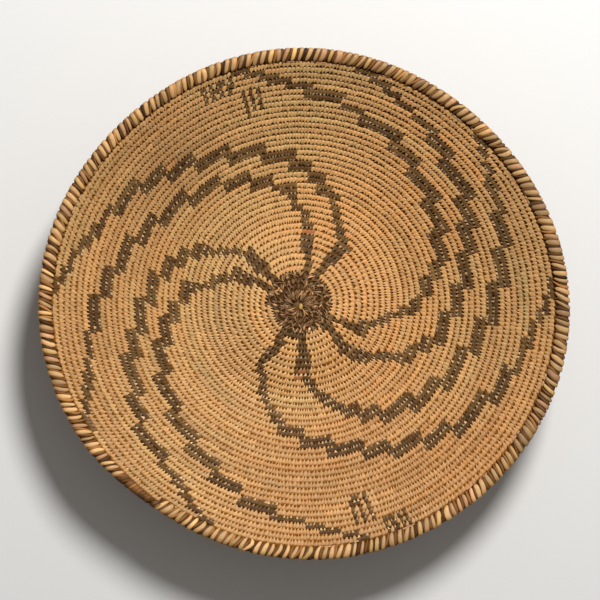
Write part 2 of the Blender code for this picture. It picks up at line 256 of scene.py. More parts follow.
# Path of a wrap: mm from the rim's inner side, height in mm, share of its width, shade
WRAP_PATH = ((-1.9, 1.2, 0.22, 0.30), (-1.7, 2.7, 0.34, 0.75), (-0.6, 3.1, 0.64, 0.95),
             (1.2, 3.45, 0.90, 1.00), (3.6, 3.50, 1.00, 1.00), (6.2, 2.95, 1.04, 1.00),
             (8.1, 1.8, 1.04, 0.97), (8.8, 0.3, 1.00, 0.90), (8.5, -1.4, 1.00, 0.88),
             (7.0, -2.7, 1.00, 0.95), (3.8, -3.4, 0.95, 0.95), (0.4, -3.0, 0.62, 0.80),
             (-1.0, -2.3, 0.30, 0.60))
# Ends of splints tucked in along the rim: from and to an angle, mm in over the last coil, shade
TUCKED_ENDS = ((24, 27, 0.4, 0.9), (29, 33, 1.6, 0.8), (43, 47, 0.3, 1.0), (49, 53, 1.5, 0.8),
               (68, 70.5, 2.6, 1.1), (69, 71.5, 1.0, 1.0), (85, 89, 1.3, 1.0), (91, 95, 1.2, 0.9),
               (101, 103, 1.0, 0.9), (145, 149, 0.2, 0.9), (154, 160, 0.6, 1.0),
               (180, 183, 1.4, 0.8), (237, 239, 0.4, 0.9), (273, 278, 0.3, 1.0),
               (281, 283, 1.4, 0.8), (292, 297, 0.2, 0.9), (311, 314, 1.2, 1.0),
               (315, 318, 0.2, 0.8), (326, 330, 0.8, 0.9), (341, 345, 0.4, 1.0))
TUCKED_SECTION = ((-0.6, 0.0), (0.0, 0.25), (0.6, 0.0), (0.0, -0.25))  # in mm
TUCKED_HEIGHT = 2.6           # in mm

# Camera and light: the camera stands over the bowl, a little to the left and towards the viewer
CAMERA_SIDEWAYS = 5.63
CAMERA_FORWARD = 1.86
CAMERA_DISTANCE = 1.6
CAMERA_TARGET = (-0.00107, 0.00406, 0.03)
LENS = 129.36                 # in mm
KEY_PLACE = (0.40, 1.25, 1.60)
KEY_SIZE = 0.6
KEY_POWER = 61
SKY_COLOUR = (1.0, 0.98, 0.95, 1)
SKY_STRENGTH = 0.24
FLOOR_COLOUR = (0.62, 0.61, 0.59, 1)
FLOOR_HALF = 6.0

# Splint colours, linear
TAN = np.array((0.510, 0.270, 0.096))
ORANGE = np.array((0.515, 0.235, 0.072))
OLIVE = np.array((0.470, 0.295, 0.108))
PALE = np.array((0.50, 0.298, 0.124))
PALE_YELLOW = PALE * (1.0, 1.02, 0.85)
PALE_PINK = PALE * (0.97, 0.88, 0.98)
END_PINK = PALE * (0.95, 0.75, 0.85)
KNOT_FIBRE = PALE * (0.90, 0.97, 0.62)
BROWN = np.array((0.088, 0.040, 0.011))
KNOT_BROWN = BROWN * 1.3
WRAP_BROWN = BROWN * 1.8
FADED = np.array((0.185, 0.098, 0.028))
RUST = np.array((0.32, 0.11, 0.036))
STAINED = np.array((0.42, 0.22, 0.09))
SPLIT = np.array((0.210, 0.120, 0.058))
SPECK = np.array((0.55, 0.345, 0.165))
MIDDLE_BUNDLE = np.array((0.060, 0.026, 0.006))
BUNDLE = np.array((0.205, 0.072, 0.007))
RIM_BUNDLE = np.array((0.090, 0.036, 0.009))
# Colour of the strips that paint the shade between the rim's wraps
RIM_SHADE_STRAND = np.array((0.21, 0.090, 0.026))
UNDER_PATTERN = 0.3           # tone of the bundle under the pattern
# How the colours stray, as shares
SPLINT_STITCHES = (14, 34)    # fewest and most stitches that one splint sews
SPLINT_TONE = 0.07
STITCH_TONE = 0.045
SPLINT_HUE = 0.22
STITCH_HUE = 0.09
OUTER_SHADE = 0.20            # how much darker the outermost coils are
OUTER_START = 0.45            # share of the tray's reach where that starts
OUTER_SPAN = 0.45
SPLINT_FADE = (0.25, 0.25)    # how faded a brown splint is, and how far that strays
STITCH_FADE = 0.1
MIDDLE_TONE = (0.20, 0.36)
STAINED_SHARE = 0.015
ROUGH_TONE = 0.28             # along a rough stitch
WRAP_TONE = 0.20
YELLOW_WRAPS = 0.2
PINK_WRAPS = 0.15
PINK_ENDS = 0.4
# Pale specks at the inner end of the pattern's stitches, fainter in the first coils
SPECK_SHARE = 0.8
SPECK_TONES = (0.25, 1.0)
SPECK_STATIONS = (1, 2, 3, 4)
SPECK_START = 0.3
SPECK_COILS = 8
# Soft patches: x, y and size as shares of the tray's reach, how much lighter and how much redder
SOFT_PATCHES = ((0.31, 0.37, 0.30, 0.07, 0.0), (-0.35, -0.33, 0.30, -0.17, 0.3),
                (0.0, 0.62, 0.30, 0.14, 0.0), (-0.56, 0.56, 0.25, -0.32, 0.1),
                (0.17, -0.46, 0.28, -0.13, 0.1), (0.0, -0.30, 0.15, 0.09, -0.6),
                (0.04, 0.30, 0.15, -0.05, 0.5), (0.62, -0.62, 0.30, -0.09, 0.8),
                (0.15, 0.17, 0.12, -0.10, 0.0))


def slope(reach):
    """Angle of the wall at a distance along it from the middle: it eases in from the flat base."""
    share = np.clip((reach - FLAT_REACH) / RISE_LENGTH, 0, 1)
    return np.radians(WALL_SLOPE) * share ** 2 * (3 - 2 * share)


def profile(reach):
    """Radius and height of the wall's middle surface: the slope, added up along the wall."""
    steps = np.arange(0, WALL_REACH + COIL_PITCH, PROFILE_STEP)
    angle = slope(steps + PROFILE_STEP / 2)
    radius = np.concatenate(([0], np.cumsum(np.cos(angle)) * PROFILE_STEP))
    height = np.concatenate(([0], np.cumsum(np.sin(angle)) * PROFILE_STEP))
    marks = np.concatenate((steps, [steps[-1] + PROFILE_STEP]))
    return np.interp(reach, marks, radius), np.interp(reach, marks, height) + HALF_THICK


def surface(reach, angle, lift):
    """Point of the bowl: a distance along the wall, an angle in degrees, and a height over it.

    The profile is turned about Z. Above the flat base the outline's waves and the rim's warp
    come in with the square of the way up the wall.
    """
    reach, angle, lift = np.broadcast_arrays(reach, angle, lift)
    radius, height = profile(reach)
    tilt = slope(reach)
    grown = np.clip((reach - FLAT_REACH) / (WALL_REACH - FLAT_REACH), 0, None) ** 2
    for count, depth, crest in OUTLINE_WAVES:
        radius = radius + grown * depth * np.cos(np.radians(count * (angle - crest)))
    height = height + grown * RIM_WARP * np.cos(np.radians(2 * (angle - WARP_ANGLE)))
    radius = radius - lift * np.sin(tilt)
    height = height + lift * np.cos(tilt)
    turned = np.radians(angle)
    return np.stack((radius * np.cos(turned), radius * np.sin(turned), height), axis=-1)


def waver(place, seed):
    """Soft hand-made wandering along a line: five sines of unlike lengths, at most about 1."""
    rng = np.random.default_rng(seed)
    lengths = np.array((0.019, 0.031, 0.047, 0.083, 0.15))
    phases = rng.uniform(0, 2 * np.pi, 5)
    waves = np.sin(2 * np.pi * np.asarray(place)[..., None] / lengths + phases)
    return waves @ np.array((0.16, 0.22, 0.22, 0.2, 0.2))


def coil_length(turn):
    """Length of the spiral from the knot to a turn count: its reach, added up all the way round."""
    return np.pi * COIL_PITCH * turn ** 2 + 2 * np.pi * KNOT_RADIUS * turn


def coil_reach(turn):
    """Distance from the middle to a coil's inner side: a spiral whose middle wanders sideways."""
    wander = COIL_DRIFT * np.sin(np.pi * np.clip(turn / ALL_TURNS, 0, 1) ** 0.7)
    angle = START_ANGLE + 360 * turn - DRIFT_ANGLE
    return KNOT_RADIUS + COIL_PITCH * turn + wander * np.cos(np.radians(angle))


def coil_side(turn):
    """The same side with the small wander of hand work, which fades out at the knot and the rim."""
    ease = np.clip(turn / 2, 0, 1) * np.clip((ALL_TURNS - turn) / 1.2, 0, 1)
    return coil_reach(turn) + COIL_WAVER * ease * waver(coil_length(turn), 3)


def far_side_share(turn):
    """Share of painted crease shade and crest highlight on the far side, where the key light
    grazes: from 0 at a quarter of the way out to 1.
    """
    far = coil_reach(turn) / WALL_REACH * np.sin(np.radians(START_ANGLE + 360 * turn + 25))
    return np.clip(1.6 * far - 0.4, 0, 1)


def rim_width(turn):
    """Width of the rim coil: it eases down by a coil's pitch over its last RIM_TAPER degrees."""
    share = np.clip((ALL_TURNS + 1 - turn) * 360 / RIM_TAPER, 0, 1)
    return RIM_WIDTH - COIL_PITCH * (1 - share ** 2 * (3 - 2 * share))


def on_coil(turn, across, lift):
    """Point of the coil at a turn count, a share across it, and a height over the bowl."""
    inner = coil_side(turn)
    reach = inner + across * (coil_side(turn + 1) - inner)
    return surface(reach, START_ANGLE + 360 * turn, lift)


def stitch_turns():
    """Turn count of every stitch along the spiral, and the room that it has.

    The middle is evenly sewn. After that each stitch is sewn beside a stitch of the turn before,
    at the middle of its near neighbours, and where the stitches have spread too far apart one
    more is let in over a run of eight, or of three where many are wanted at once.
    """
    rng = np.random.default_rng(11)
    table = np.linspace(0, ALL_TURNS + 1, 2000)
    around = 2 * np.pi * profile((coil_reach(table) + coil_reach(table + 1)) / 2)[0]
    step = np.interp(table, *np.array(STITCH_PITCHES).T) / 1000 / around
    turns = [0.0]
    while turns[-1] < CENTRE_TURNS + 1:
        turns.append(turns[-1] + float(np.interp(turns[-1], table, step)))
    limits = rng.uniform(*SPREAD_LIMITS, 20000)
    before = np.floor(np.interp(turns[-1] - 1, turns, np.arange(len(turns)))) + 1 + ROW_SHIFT
    run = left = 0

    def evened(place):
        return (turns[place - 1] + 2 * turns[place] + turns[place + 1]) / 4
    while turns[-1] < ALL_TURNS:
        low = int(before)
        spread = (turns[low + 1] - turns[low]) / np.interp(turns[-1], table, step)
        if left == 0 and spread > limits[len(turns)]:
            run = left = WIDE_RUN if spread > WIDE_SPREAD else LET_IN_RUN
        before += 1 - 1 / run if left else 1
        left = max(left - 1, 0)
        low = int(before)
        share = before - low
        turns.append(1 + evened(low) * (1 - share) + evened(low + 1) * share)
    turns = np.array(turns[:-1])
    room = np.gradient(turns)
    keep = (turns > 0.02) & (turns < ALL_TURNS - 0.0012)
    return turns[keep], room[keep]


def covered(turn, steps):
    """Which stitches lie in any of the pattern's steps.

    A coil of a step starts at the step's first angle and runs on to its last one. The same
    angle one turn later belongs to the step's next coil.
    """
    inside = np.zeros(len(turn), bool)
    for first, coils, start, end in steps:
        place = turn - (start - START_ANGLE) / 360
        row = np.floor(place)
        inside |= (row >= first) & (row < first + coils) & ((place - row) * 360 <= end - start)
    return inside


def mesh_piece(name, points, faces, colour, shade, grain, material, nodes):
    """A piece made of points and square faces, with its colours and its grain map.

    colour is the splint's own colour at each point. shade is painted shade that darkens it in the
    creases, blue most and red least, and above 1 a painted highlight that lightens it on the
    crests.
    grain gives the place across and along the splint, in millimetres. The colour and the shade are
    spread over the points by numpy's rules.
    """
    colour = np.broadcast_to(colour, points.shape).reshape(-1, 3)
    shade = np.broadcast_to(shade, points.shape[:-1]).reshape(-1)
    grain = grain.reshape(-1, 2)
    points = points.reshape(-1, 3)
    mesh = bpy.data.meshes.new(name)
    mesh.vertices.add(len(points))
    mesh.vertices.foreach_set("co", points.astype(np.float32).ravel())
    mesh.loops.add(faces.size)
    mesh.loops.foreach_set("vertex_index", faces.astype(np.int32).ravel())
    mesh.polygons.add(len(faces))
    mesh.polygons.foreach_set("loop_start", np.arange(0, faces.size, 4, dtype=np.int32))
    mesh.update(calc_edges=True)
    mesh.polygons.foreach_set("use_smooth", np.ones(len(faces), bool))
    layer = mesh.attributes.new("splint_colour", "FLOAT_COLOR", "POINT")
    # Painted crease shade below 1, painted highlight above 1
    tint = np.where(shade[:, None] > 1, HIGHLIGHT_TINT, CREASE_TINT)
    creased = colour * shade[:, None] ** tint
    creased = np.column_stack((creased, np.ones(len(points)))).astype(np.float32)
    layer.data.foreach_set("color", creased.ravel())
    chart = mesh.uv_layers.new(name="grain")
    chart.uv.foreach_set("vector", grain[faces.ravel()].astype(np.float32).ravel())
    mesh.validate()
    mesh.set_sharp_from_angle(angle=np.radians(100))
    mesh.materials.append(material)
    piece = bpy.data.objects.new(name, mesh)
    bpy.context.scene.collection.objects.link(piece)
    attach(piece, "root")
    if nodes:
        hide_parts(*nodes)
    return piece


def ring_faces(loops, stations, corners):
    """Square faces of closed bands: each has its stations in a ring, each with a closed section."""
    loop = np.arange(loops)[:, None, None] * stations * corners
    station = np.arange(stations)[None, :, None]
    corner = np.arange(corners)[None, None, :]
    after_station = (station + 1) % stations
    after_corner = (corner + 1) % corners
    a = loop + station * corners + corner
    b = loop + station * corners + after_corner
    c = loop + after_station * corners + after_corner
    d = loop + after_station * corners + corner
    return np.stack((a, b, c, d), axis=-1).reshape(-1, 4)


def strip_faces(strips, stations, corners):
    """Square faces of strips with four corners, each closed by a square at its two ends."""
    strip = np.arange(strips)[:, None, None] * stations * corners
    station = np.arange(stations - 1)[None, :, None] * corners
    corner = np.arange(corners)[None, None, :]
    after = (corner + 1) % corners
    sides = np.stack((strip + station + after, strip + station + corner,
                      strip + station + corners + corner,
                      strip + station + corners + after), axis=-1)
    cap = np.arange(corners)[None] + strip[:, 0]
    return np.concatenate((sides.reshape(-1, 4), cap, cap[:, ::-1] + (stations - 1) * corners))


def tube_faces(rings, corners):
    """Square faces of a tube of rings with an even number of corners, closed at both ends."""
    station = np.arange(rings - 1)[:, None] * corners
    corner = np.arange(corners)[None, :]
    after = (corner + 1) % corners
    sides = np.stack((station + corner, station + after, station + corners + after,
                      station + corners + corner), axis=-1).reshape(-1, 4)
    halves = np.arange(corners // 2 - 1)
    cap = np.stack((halves, corners - 1 - halves, corners - 2 - halves, halves + 1), axis=-1)
    return np.concatenate((sides, cap, cap[:, ::-1] + (rings - 1) * corners))


def tube(turns, section, place):
    """A closed tube through sections set at turn counts.

    A section lists shares across and heights in mm, and place gives the point for a turn count,
    a share across and a height.
    """
    across, height = np.array(section).T
    points = place(*np.broadcast_arrays(turns[:, None], across[None], height[None] / 1000))
    return points, tube_faces(len(turns), len(section))


def tube_grain(corners, step, along):
    """Grain map of a tube: a step in mm from corner to corner, and a place along it in mm."""
    return np.stack(np.broadcast_arrays(np.arange(corners)[None] * step, along[:, None]), axis=-1)


def band_section(path_across, path_lift, thickness):
    """Offsets of a band's section at each station, square to its path, in mm.

    The path runs clockwise round the coil. Its outward side is its direction turned to the left.
    """
    run = np.roll(path_across, -1) - np.roll(path_across, 1)
    rise = np.roll(path_lift, -1) - np.roll(path_lift, 1)
    size = np.hypot(run, rise)
    height = np.array([corner[1] for corner in SPLINT_SECTION]) * thickness / 2
    return (-rise / size)[:, None] * height, (run / size)[:, None] * height


def stitches(turn, room, path, rough, rng):
    """Points of closed stitches round the coil: stations along each, with a section of corners.

    At each station a stitch has a share across the coil, a height, and a half width that is a
    share of its room. Its outer end leans back by a share of its room. A rough stitch strays
    in its lean, width, length and height.
    """
    count = len(turn)
    across, lift, share, shade = np.array(path).T
    pitch = COIL_PITCH * 1000
    off_across, off_lift = band_section(across * pitch, lift, SPLINT_THICKNESS * 1000)
    side = np.array([corner[0] for corner in SPLINT_SECTION])

    def each(middle, stray):
        even, more = stray
        return rng.normal(middle, even + more * rough, count)[:, None, None]

    gap = room[:, None, None]
    place = turn[:, None, None] + each(0, PLACE_STRAY) * gap
    place = place + each(0, HEEL_STRAY) * gap * (across < 0.05)[None, :, None]
    place = place - each(STITCH_LEAN, LEAN_STRAY) * (across[None, :, None] - 0.4) * gap
    neck = np.where(across < 0.1, np.clip(each(1, NECK_STRAY), 0.4, 1.8)[:, :, 0], 1)[:, :, None]
    place = place + each(1, WIDTH_STRAY) * neck * gap * share[None, :, None] / 2 * side
    upper = (lift > 1.4)[None, :, None]
    shape = (across[:, None] + off_across / pitch)[None]
    shape = shape + each(0, ACROSS_STRAY) * upper
    height = (lift[:, None] + off_lift)[None] + each(0, HEIGHT_STRAY) * upper
    height = np.clip(height, -HALF_THICK * 1000, HALF_THICK * 1000 + MOST_HEIGHT)
    points = on_coil(place, shape + 0 * place, height / 1000 + 0 * place)
    along = np.concatenate(([0], np.cumsum(np.hypot(np.diff(across * pitch), np.diff(lift)))))
    grain = np.zeros((count, len(across), len(side), 2))
    grain[..., 0] = side * share[:, None] * 1.4 + rng.uniform(0, 60, count)[:, None, None]
    grain[..., 1] = along[:, None] + rng.uniform(0, 60, count)[:, None, None]
    return points, shade[:, None] * np.where(np.abs(side) == 1, EDGE_SHADE, 1), grain


def stitch_colours(turn, dark, rusty, rng):
    """The splint colour of each stitch.

    A splint lasts 14 to 34 stitches and has a tone and a hue of its own. To that come the tone
    of the single stitch and wide soft patches over the tray.
    """
    count = len(turn)
    fewest, most = SPLINT_STITCHES
    ends = np.cumsum(rng.integers(fewest, most + 1, count // fewest + 2))
    splint = np.searchsorted(ends, np.arange(count))
    angle = np.radians(START_ANGLE + 360 * turn)
    reach = coil_reach(turn) / WALL_REACH
    x, y = reach * np.cos(angle), reach * np.sin(angle)
    tone = rng.normal(0, SPLINT_TONE, len(ends))[splint] + rng.normal(0, STITCH_TONE, count)
    tone += 0.05 * np.sin(5.1 * x + 1.2) * np.cos(4.3 * y - 0.4) - 0.03 * x
    tone -= OUTER_SHADE * np.clip((reach - OUTER_START) / OUTER_SPAN, 0, 1)
    hue = rng.normal(0, SPLINT_HUE, len(ends))[splint] + 0.6 * (0.45 * x - 0.3 * y)
    hue += 0.3 * np.sin(6.0 * x - 2.1 * y) + rng.normal(0, STITCH_HUE, count)
    for patch_x, patch_y, size, lighter, redder in SOFT_PATCHES:
        share = np.exp(-((x - patch_x) ** 2 + (y - patch_y) ** 2) / size ** 2)
        tone += lighter * share
        hue += redder * share
    warm = np.clip(hue, 0, 1)[:, None]
    cool = np.clip(-hue, 0, 1)[:, None]
    light = TAN + warm * (ORANGE - TAN) + cool * (OLIVE - TAN)
    light = light * np.exp(tone)[:, None]
    fade = rng.normal(*SPLINT_FADE, len(ends))[splint] + rng.normal(0, STITCH_FADE, count)
    fade = np.clip(fade, 0, 1)[:, None]
    brown = (BROWN + fade * (FADED - BROWN)) * np.exp(tone)[:, None]
    colour = np.where(dark[:, None], brown, light)
    return np.where(rusty[:, None], RUST * np.exp(tone)[:, None], colour)


def shader_tools(name):
    """A new material, its node tree and Principled shader, and a short way to add a node.

    An input is named by its socket's name, or by its number after an underscore.
    """
    material = bpy.data.materials.new(name)
    material.use_nodes = True
    tree = material.node_tree
    shader = tree.nodes["Principled BSDF"]

    def add(kind, settings=None, **inputs):
        node = tree.nodes.new(kind)
        for key, value in (settings or {}).items():
            setattr(node, key, value)
        for key, value in inputs.items():
            spot = int(key[1:]) if key[1:].isdigit() else key.replace("_", " ")
            socket = node.inputs[spot]
            if isinstance(value, bpy.types.NodeSocket):
                tree.links.new(value, socket)
            else:
                socket.default_value = value
        return node
    return material, tree, shader, add


def splint_finish(name, roughness, grain_depth, streak, sheen):
    """Splint: its own colour with fine streaks along it and soft blots, and a dull sheen."""
    material, tree, shader, add = shader_tools(name)
    colour = add("ShaderNodeAttribute", {"attribute_name": "splint_colour"})
    chart = add("ShaderNodeUVMap", {"uv_map": "grain"})
    long = add("ShaderNodeMapping", Vector=chart.outputs[0], Scale=(2.6, 0.22, 1))
    fibres = add("ShaderNodeTexNoise", Vector=long.outputs[0], Scale=1.0, Detail=3.0, Roughness=0.6)
    blot = add("ShaderNodeTexNoise", Vector=chart.outputs[0], Scale=0.55, Detail=2.0)
    streaks = add("ShaderNodeMapRange", Value=fibres.outputs[0], From_Min=0.3, From_Max=0.7,
                  To_Min=1 - streak, To_Max=1 + streak)
    blots = add("ShaderNodeMapRange", Value=blot.outputs[0], From_Min=0.3, From_Max=0.7,
                To_Min=0.93, To_Max=1.05)
    both = add("ShaderNodeMath", {"operation": "MULTIPLY"}, _0=streaks.outputs[0],
               _1=blots.outputs[0])
    final = add("ShaderNodeVectorMath", {"operation": "SCALE"}, _0=colour.outputs["Color"],
                Scale=both.outputs[0])
    tree.links.new(final.outputs[0], shader.inputs["Base Color"])
    rough = add("ShaderNodeMapRange", Value=fibres.outputs[0], From_Min=0.3, From_Max=0.7,
                To_Min=roughness - 0.08, To_Max=roughness + 0.1)
    tree.links.new(rough.outputs[0], shader.inputs["Roughness"])
    bump = add("ShaderNodeBump", Strength=0.5, Distance=grain_depth, Height=fibres.outputs[0])
    tree.links.new(bump.outputs[0], shader.inputs["Normal"])
    shader.inputs["Specular IOR Level"].default_value = sheen
    return material


def add_specks(colours, turn, rng):
    """Pale specks at the inner end of most stitches."""
    chosen = rng.random(len(turn)) < SPECK_SHARE
    bright = rng.uniform(*SPECK_TONES, len(turn))[chosen]
    bright = bright * np.clip((turn[chosen] - CENTRE_TURNS) / SPECK_COILS, SPECK_START, 1)
    pale = np.isin(np.arange(colours.shape[1]), SPECK_STATIONS)[:, None, None]
    colours[chosen] = np.where(pale, SPECK * bright[:, None, None, None], colours[chosen])


def sew_tray(tan_splint, dark_splint):
    """Every stitch of the tray, sorted into pieces by where it lies and by its colour."""
    rng = np.random.default_rng(5)
    turn, room = stitch_turns()
    patterned = covered(turn, PATTERN)
    in_middle = turn < CENTRE_TURNS
    on_knot = turn < 1
    outside = turn >= WALL_TURNS
    colour = stitch_colours(turn, patterned | in_middle, covered(turn, RUSTY_STEPS), rng)
    middle_tone = rng.normal(*MIDDLE_TONE, len(turn))[:, None]
    ragged = BROWN + rng.random(len(turn))[:, None] * (SPLIT - BROWN)
    ragged = np.where(rng.random(len(turn))[:, None] < STAINED_SHARE, STAINED, ragged)
    colour = np.where(in_middle[:, None], ragged * np.exp(middle_tone), colour)
    dark = (("knot_stitches", on_knot, ("start_knot",)),
            ("centre_stitches", in_middle & ~on_knot, ("centre_coil",)),
            ("inner_pattern_stitches", patterned & ~in_middle & ~outside, ()),
            ("outer_pattern_stitches", patterned & outside, ()))
    pieces = [(name, chosen, dark_splint, nodes, "dark_splint") for name, chosen, nodes in dark]
    for name, start, end, node in SEWN_LENGTHS:
        chosen = (turn >= start) & (turn < end) & ~patterned
        pieces.append((name, chosen, tan_splint, (node,), "tan_splint"))
    for name, chosen, material, nodes, slot in pieces:
        path, rough = RAGGED_PIECES.get(name, (STITCH_PATH, 0))
        points, shade, grain = stitches(turn[chosen], room[chosen], path, rough, rng)
        count, stations, corners = points.shape[:3]
        # Painted crease shade and crest highlight, stronger on the far side where the key light
        # grazes
        shades = shade[None] ** (1 + FAR_SIDE_SHADING * far_side_share(turn[chosen]))[:, None, None]
        colours = np.broadcast_to(colour[chosen][:, None, None], points.shape).copy()
        if name.endswith("pattern_stitches"):
            add_specks(colours, turn[chosen], rng)
        if rough:
            colours = colours * np.exp(rng.normal(0, ROUGH_TONE, (count, stations, 1, 1)))
        faces = ring_faces(count, stations, corners)
        mesh_piece(name, points, faces, colours, shades, grain, material, nodes)


def closed_button(name, shell, colour, material):
    """A closed button from rings of points, lowest first: its ends are drawn in to small flats."""
    low = shell[0].mean(axis=0)
    high = shell[-1].mean(axis=0)
    inner_low = low + (shell[0] - low) * END_FLAT
    inner_high = high + (shell[-1] - high) * END_FLAT
    shell = np.concatenate((inner_low[None], shell, inner_high[None]))
    rings, corners = shell.shape[:2]
    grain = tube_grain(corners, 0.4, np.arange(rings) * 0.5)
    mesh_piece(name, shell, tube_faces(rings, corners), colour, 1, grain, material, ())


def tie_knot(material):
    """The knot under the first stitches: a low ribbed button with a pale lens of fibre on top.

    At a share t of the way from the button's foot to its top, its radius is BUTTON_RADIUS times
    cos(t * 90 degrees) and its height is BUTTON_FOOT + BUTTON_RISE times sin(t * 90 degrees).
    The ribs wave its radius in and out and turn a little on their way up. The lens is an
    ellipsoid that is turned about Z.
    """
    around = np.linspace(0, 2 * np.pi, KNOT_CORNERS + 1)[:-1]
    rise = np.linspace(0, 1, BUTTON_RINGS + 1)[:-1, None] * np.pi / 2
    ribs = 1 + RIB_DEPTH * np.cos(RIBS * around + RIB_TWIST * rise)
    radius = BUTTON_RADIUS * np.cos(rise) * ribs
    height = BUTTON_FOOT + BUTTON_RISE * np.sin(rise) + 0 * around
    shell = np.stack((radius * np.cos(around), radius * np.sin(around), height), axis=-1)
    closed_button("knot", shell, KNOT_BROWN, material)
    rise = np.linspace(-np.pi / 2, np.pi / 2, CORE_RINGS + 2)[1:-1, None]
    turned = np.radians(CORE_TURN)
    x = CORE_WIDTH / 2 * np.cos(rise) * np.cos(around)
    y = CORE_LENGTH / 2 * np.cos(rise) * np.sin(around)
    height = CORE_HEIGHT + CORE_THICKNESS / 2 * np.sin(rise) + 0 * around
    shell = np.stack((x * np.sin(turned) + y * np.cos(turned) + CORE_OFFSET,
                      -x * np.cos(turned) + y * np.sin(turned), height), axis=-1)
    closed_button("knot_core", shell, KNOT_FIBRE, material)


def lay_bundle(material):
    """The bundle of fibre that the stitches pass round, seen in the gaps between them.

    It is BUNDLE_SECTION carried along the spiral, stretched to the coil's width at each place.
    """
    turns = np.unique(np.concatenate([np.linspace(*stretch) for stretch in BUNDLE_STRETCHES]))
    points, faces = tube(turns, BUNDLE_SECTION, on_coil)
    # The bundle is darker on the far side: painted shade in the holes where the key light grazes
    tone = np.exp(-FAR_SIDE_SHADING * far_side_share(turns)) * np.where(covered(turns, PATTERN), UNDER_PATTERN, 1)
    in_middle = (turns < CENTRE_TURNS + 0.5)[:, None, None]
    colour = np.where(in_middle, MIDDLE_BUNDLE, BUNDLE * tone[:, None, None])
    grain = tube_grain(len(BUNDLE_SECTION), 0.8, coil_length(turns) * 1000 * 0.5)
    mesh_piece("coil_bundle", points, faces, colour, 1, grain, material, ())


def lay_rim(material):
    """The rim coil's thick bundle: RIM_SECTION carried along the last turn, from end to end."""
    turns = np.linspace(ALL_TURNS + RIM_ENDS, ALL_TURNS + 1 - RIM_ENDS, RIM_SECTIONS)

    def place(turn, across, lift):
        reach = coil_reach(turn) + RIM_INSET + across * (rim_width(turn) - RIM_SLACK)
        return surface(reach, START_ANGLE + 360 * turn, lift)

    points, faces = tube(turns, RIM_SECTION, place)
    grain = tube_grain(len(RIM_SECTION), 1.1, turns * RIM_LENGTH * 0.3)
    mesh_piece("rim_bundle", points, faces, RIM_BUNDLE, 1, grain, material, ("rim_coil",))


def rim_grip(turn):
    """How far a wrap's inner end reaches in over the last coil, as a share of WRAP_PATH's reach.

    It is WRAP_GRIP at the sides, most at the tray's near edge, and a little more at the far one.
    """
    angle = (START_ANGLE + 360 * turn) % 360
    grip = np.full(len(turn), WRAP_GRIP)
    for middle, spread, more in GRIP_SWELLS:
        grip += more * np.exp(-((angle - middle) / spread) ** 2)
    return grip


def wraps(turn, width, tilt, grip, sunk, around, rng):
    """Points of closed wraps round the rim coil, each leaning by its own tilt in degrees.

    WRAP_PATH runs once round the coil, with a splint's section set square to it at each
    station. Each station is moved along the rim by the lean times its distance from
    LEAN_PIVOT, and a bent wrap's by the square of that distance too. width is in turns, and
    grip is rim_grip's share. A sunk wrap lies up to that many millimetres under the others.
    """
    across, lift, share, shade = np.array(WRAP_PATH).T
    off_across, off_lift = band_section(across, lift, WRAP_THICKNESS)
    side = np.array([corner[0] for corner in SPLINT_SECTION])
    thin = 1 - sunk / WRAP_SPAN
    scale = ((rim_width(turn) + WRAP_MARGIN) / (RIM_WIDTH + WRAP_MARGIN))[:, None, None]
    run = np.where(across < GRIP_FROM, GRIP_FROM + (across - GRIP_FROM) * grip[:, None], across)
    run = (WRAP_MIDDLE + (run - WRAP_MIDDLE) * thin)[:, :, None]
    spread = (width * rng.normal(1, 0.05, len(turn)))[:, None, None] * share[None, :, None] / 2
    lean = (np.tan(np.radians(tilt)) * 0.001 / around)[:, None, None]
    bent = rng.normal(0, WRAP_BEND, len(turn))[:, None, None] * lean
    spot = turn[:, None, None] - lean * (run - LEAN_PIVOT) * scale + spread * side
    spot = spot - bent * (run - LEAN_PIVOT) ** 2 / 4
    reach = coil_reach(spot) + (run + off_across) * scale / 1000
    height = (lift[:, None] * thin + off_lift)[None] / 1000 + 0 * spot
    points = surface(reach, START_ANGLE + 360 * spot, height)
    along = np.concatenate(([0], np.cumsum(np.hypot(np.diff(across), np.diff(lift)))))
    grain = np.zeros(points.shape[:3] + (2,))
    grain[..., 0] = side * 1.4 + rng.uniform(0, 60, len(turn))[:, None, None]
    grain[..., 1] = along[:, None] + rng.uniform(0, 60, len(turn))[:, None, None]
    return points, shade[:, None] * np.where(np.abs(side) == 1, WRAP_EDGE_SHADE, 1), grain


